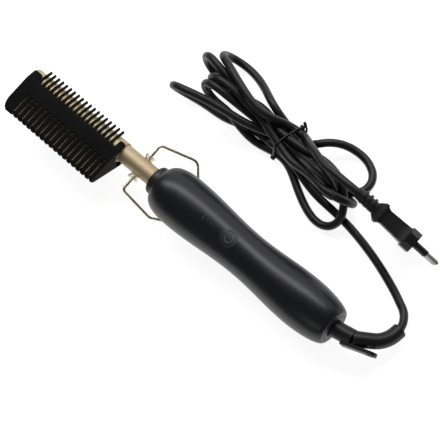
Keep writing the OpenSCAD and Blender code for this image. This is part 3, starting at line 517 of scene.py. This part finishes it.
def band_outline(points):
    """A closed loop that hugs the strands where they pass the tie's middle."""
    middle = seen(*TIE_MIDDLE) * LEVEL
    past = (points - middle) @ TIE_ALONG
    crossings = []
    for i in np.nonzero(past[:-1] * past[1:] < 0)[0]:
        p = points[i] + (points[i + 1] - points[i]) * past[i] / (past[i] - past[i + 1])
        if abs((p - middle) @ TIE_ACROSS) < BAND_REACH_MM:
            crossings.append(np.array(((p - middle) @ TIE_ACROSS, p[2])))
    out = []
    for k in range(BAND_POINTS):
        angle = 2 * math.pi * k / BAND_POINTS
        way = np.array((math.cos(angle), math.sin(angle)))
        across, height = max(crossings, key=lambda c: c @ way) + way * (CORD_MM / 2 + WIRE_MM)
        out.append(middle + TIE_ACROSS * across + TIE_ALONG * across * BAND_SLANT
                   + (0, 0, max(height, WIRE_MM)))
    return out


def knot_loop(at, size):
    """A trefoil, pulled tight."""
    out = []
    for k in range(KNOT_POINTS):
        t = 2 * math.pi * k / KNOT_POINTS
        out.append(at + np.array((math.sin(t) + 2 * math.sin(2 * t),
                                  -math.sin(3 * t) * KNOT_DEPTH,
                                  math.cos(t) - 2 * math.cos(2 * t))) * size)
    return out


def twist(points, phase):
    """One of two wires wound round each other along the points."""
    out = []
    for i in range(len(points) - 1):
        for t in (0, 0.25, 0.5, 0.75):
            a = phase + (i + t) * TWIST_TURN
            middle = points[i] * (1 - t) + points[i + 1] * t
            out.append(middle + (TIE_ALONG * math.cos(a) + TIE_ACROSS * math.sin(a)) * TWIST_HALF_MM)
    return out + [points[-1]]


outline = band_outline(laid)
far_knot = min(outline, key=lambda p: p @ TIE_ACROSS) - TIE_ACROSS * FAR_KNOT_OUT_MM
near_knot = max(outline, key=lambda p: p @ TIE_ACROSS) + TIE_ACROSS * NEAR_KNOT_OUT_MM
tail_points = [far_knot, *(seen(*pick) for pick in TIE_TAIL)]
tie_data = round_curve("cord_tie_twist", WIRE_MM, 4, 6)
add_strand(tie_data, outline, cyclic=True)
add_strand(tie_data, knot_loop(far_knot, FAR_KNOT_MM), cyclic=True)
add_strand(tie_data, knot_loop(near_knot, NEAR_KNOT_MM), cyclic=True)
for phase in (0, math.pi):
    add_strand(tie_data, twist(tail_points, phase))
tie = link_piece("cord_tie_twist", tie_data, "handle", "tie_black", ["cord_tie"])

# ---- the mark on the button: an open ring with a bar, proud of the cap ----
MARK_WIRE_MM = 0.24
MARK_RING_MM = 2.7
MARK_ANGLES = range(40, 321, 20)
MARK_BAR_MM = (3.2, 2, 0.8)
MARK_PROUD_MM = 0.06
LOOK_FROM_MM = 10
up = Vector(button_up)
low, high = (Vector(c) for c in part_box("power_button"))
cap_mesh = NODES["power_button"].data
cap_tree = BVHTree.FromPolygons([v.co.copy() for v in cap_mesh.vertices],
                                [tuple(f.vertices) for f in cap_mesh.polygons])
mark_up = -Vector(CAMERA_DOWN)
mark_up = (mark_up - up * mark_up.dot(up)).normalized()
mark_side = mark_up.cross(up)


def on_cap(aside, upwards):
    """A point in mm just above the cap, at a place given from the cap's middle."""
    start = ((low + high) / 2 + (mark_side * aside + mark_up * upwards) * MM
             + up * LOOK_FROM_MM * MM)
    hit = cap_tree.ray_cast(start, -up)[0]
    return (hit + up * MARK_PROUD_MM * MM) / MM


mark_data = round_curve("power_mark", MARK_WIRE_MM, 3, 12)
add_strand(mark_data, [on_cap(MARK_RING_MM * math.sin(math.radians(a)),
                              MARK_RING_MM * math.cos(math.radians(a))) for a in MARK_ANGLES])
add_strand(mark_data, [on_cap(0, upwards) for upwards in MARK_BAR_MM])
link_piece("power_mark", mark_data, "button", "symbol_grey")

# ---- CAD nodes: finish and softened edges ----
for entry in frame["record"]["subparts"]:
    for slot in NODES[entry["node"]].material_slots:
        slot.material = FINISHES[entry["material_slot"]]

WELD_REACH = 1e-6
EDGE_ANGLE = math.radians(30)
EDGES_MM = {"handle_shell_top": 0.25, "handle_shell_bottom": 0.25, "front_collar": 0.5,
            "rear_ring": 0.3, "button_bezel": 0.4, "power_button": 0.5, "guard_top_half": 0.22,
            "guard_bottom_half": 0.22, "stand_bracket_left": 0.12, "stand_bracket_right": 0.12,
            "comb_body": 0.12, "barrel_tube": 0.1, "plug_body": 0.7, "plug_strain_relief": 0.35,
            "cord_boot": 0.35, "plug_pins": 0.1, "handle_screws": 0.1}
ROUNDER = ("plug_body", "front_collar")


def soften(node, width, segments):
    """Welded corners, edges rounded to a width in mm, and normals that follow the large faces."""
    weld = node.modifiers.new("weld", "WELD")
    weld.merge_threshold = WELD_REACH
    if width:
        bevel = node.modifiers.new("bevel", "BEVEL")
        bevel.width = width * MM
        bevel.segments = segments
        bevel.limit_method = "ANGLE"
        bevel.angle_limit = EDGE_ANGLE
        bevel.use_clamp_overlap = True
        bevel.harden_normals = False
    normals = node.modifiers.new("normals", "WEIGHTED_NORMAL")
    normals.keep_sharp = False


for name, node in NODES.items():
    soften(node, EDGES_MM.get(name, 0.0), 3 if name in ROUNDER else 2)

# ---- stage: a grey floor that looks pale and keeps the shadow ----
FLOOR_HALF = 3.0
FLOOR_DROP = 0.0002
PAPER_GREY = (0.5, 0.5, 0.5, 1)
PAPER_ROUGH = 0.9
PAPER_GLOW = 0.88
SKY_WHITE = (1, 1, 1, 1)
SKY_LEVEL = 0.12
floor_mesh = bpy.data.meshes.new("floor")
corners = [(x * FLOOR_HALF, y * FLOOR_HALF, 0) for x, y in ((-1, -1), (1, -1), (1, 1), (-1, 1))]
floor_mesh.from_pydata(corners, [], [(0, 1, 2, 3)])
floor = bpy.data.objects.new("floor", floor_mesh)
scene.collection.objects.link(floor)
floor.location.z = -FLOOR_DROP
paper = bpy.data.materials.new("paper")
paper.use_nodes = True
floor_mesh.materials.append(paper)
tree = paper.node_tree
shader = tree.nodes["Principled BSDF"]
shader.inputs["Base Color"].default_value = PAPER_GREY
shader.inputs["Roughness"].default_value = PAPER_ROUGH
shader.inputs["Specular IOR Level"].default_value = 0.0


def seen_directly(tree):
    """1 for camera, glossy and transmission rays, 0 for the light that objects receive."""
    ray = tree.nodes.new("ShaderNodeLightPath")
    total = ray.outputs["Is Camera Ray"]
    for kind in ("Is Glossy Ray", "Is Transmission Ray"):
        larger = tree.nodes.new("ShaderNodeMath")
        larger.operation = "MAXIMUM"
        tree.links.new(total, larger.inputs[0])
        tree.links.new(ray.outputs[kind], larger.inputs[1])
        total = larger.outputs[0]
    return total


glow = tree.nodes.new("ShaderNodeEmission")
share = tree.nodes.new("ShaderNodeMath")
share.operation = "MULTIPLY"
share.inputs[1].default_value = PAPER_GLOW
tree.links.new(seen_directly(tree), share.inputs[0])
tree.links.new(share.outputs[0], glow.inputs["Strength"])
both = tree.nodes.new("ShaderNodeAddShader")
tree.links.new(shader.outputs[0], both.inputs[0])
tree.links.new(glow.outputs[0], both.inputs[1])
tree.links.new(both.outputs[0], tree.nodes["Material Output"].inputs["Surface"])

world = bpy.data.worlds.new("world")
scene.world = world
world.use_nodes = True
sky = world.node_tree.nodes["Background"]
sky.inputs["Color"].default_value = SKY_WHITE
sky.inputs["Strength"].default_value = SKY_LEVEL

# ---- lights: each softbox's place, the point that it faces, its size and the level it shows ----
SOFTBOXES = {"strip": ((0.46, -0.60, 1.03), (0, 0, 0), (1.7, 0.24), 7.4),
             "side": ((0.5, -1.3, 0.5), (0, 0, 0.05), (2.4, 0.9), 0.8),
             "far": ((-0.4, 1.2, 0.9), (0, 0, 0), (0.8, 0.6), 0.7)}


def softbox(name, at, aim, size, level):
    """A rectangular light whose power in watts gives its face that level."""
    data = bpy.data.lights.new(name, "AREA")
    data.shape = "RECTANGLE"
    data.size, data.size_y = size
    data.energy = level * math.pi * size[0] * size[1]
    lamp = bpy.data.objects.new(name, data)
    scene.collection.objects.link(lamp)
    away = (Vector(at) - Vector(aim)).normalized()
    turned = away.to_track_quat("Z", "Y").to_matrix().to_4x4()
    lamp.matrix_world = Matrix.Translation(Vector(at)) @ turned


for name, (at, aim, size, level) in SOFTBOXES.items():
    softbox(name, at, aim, size, level)
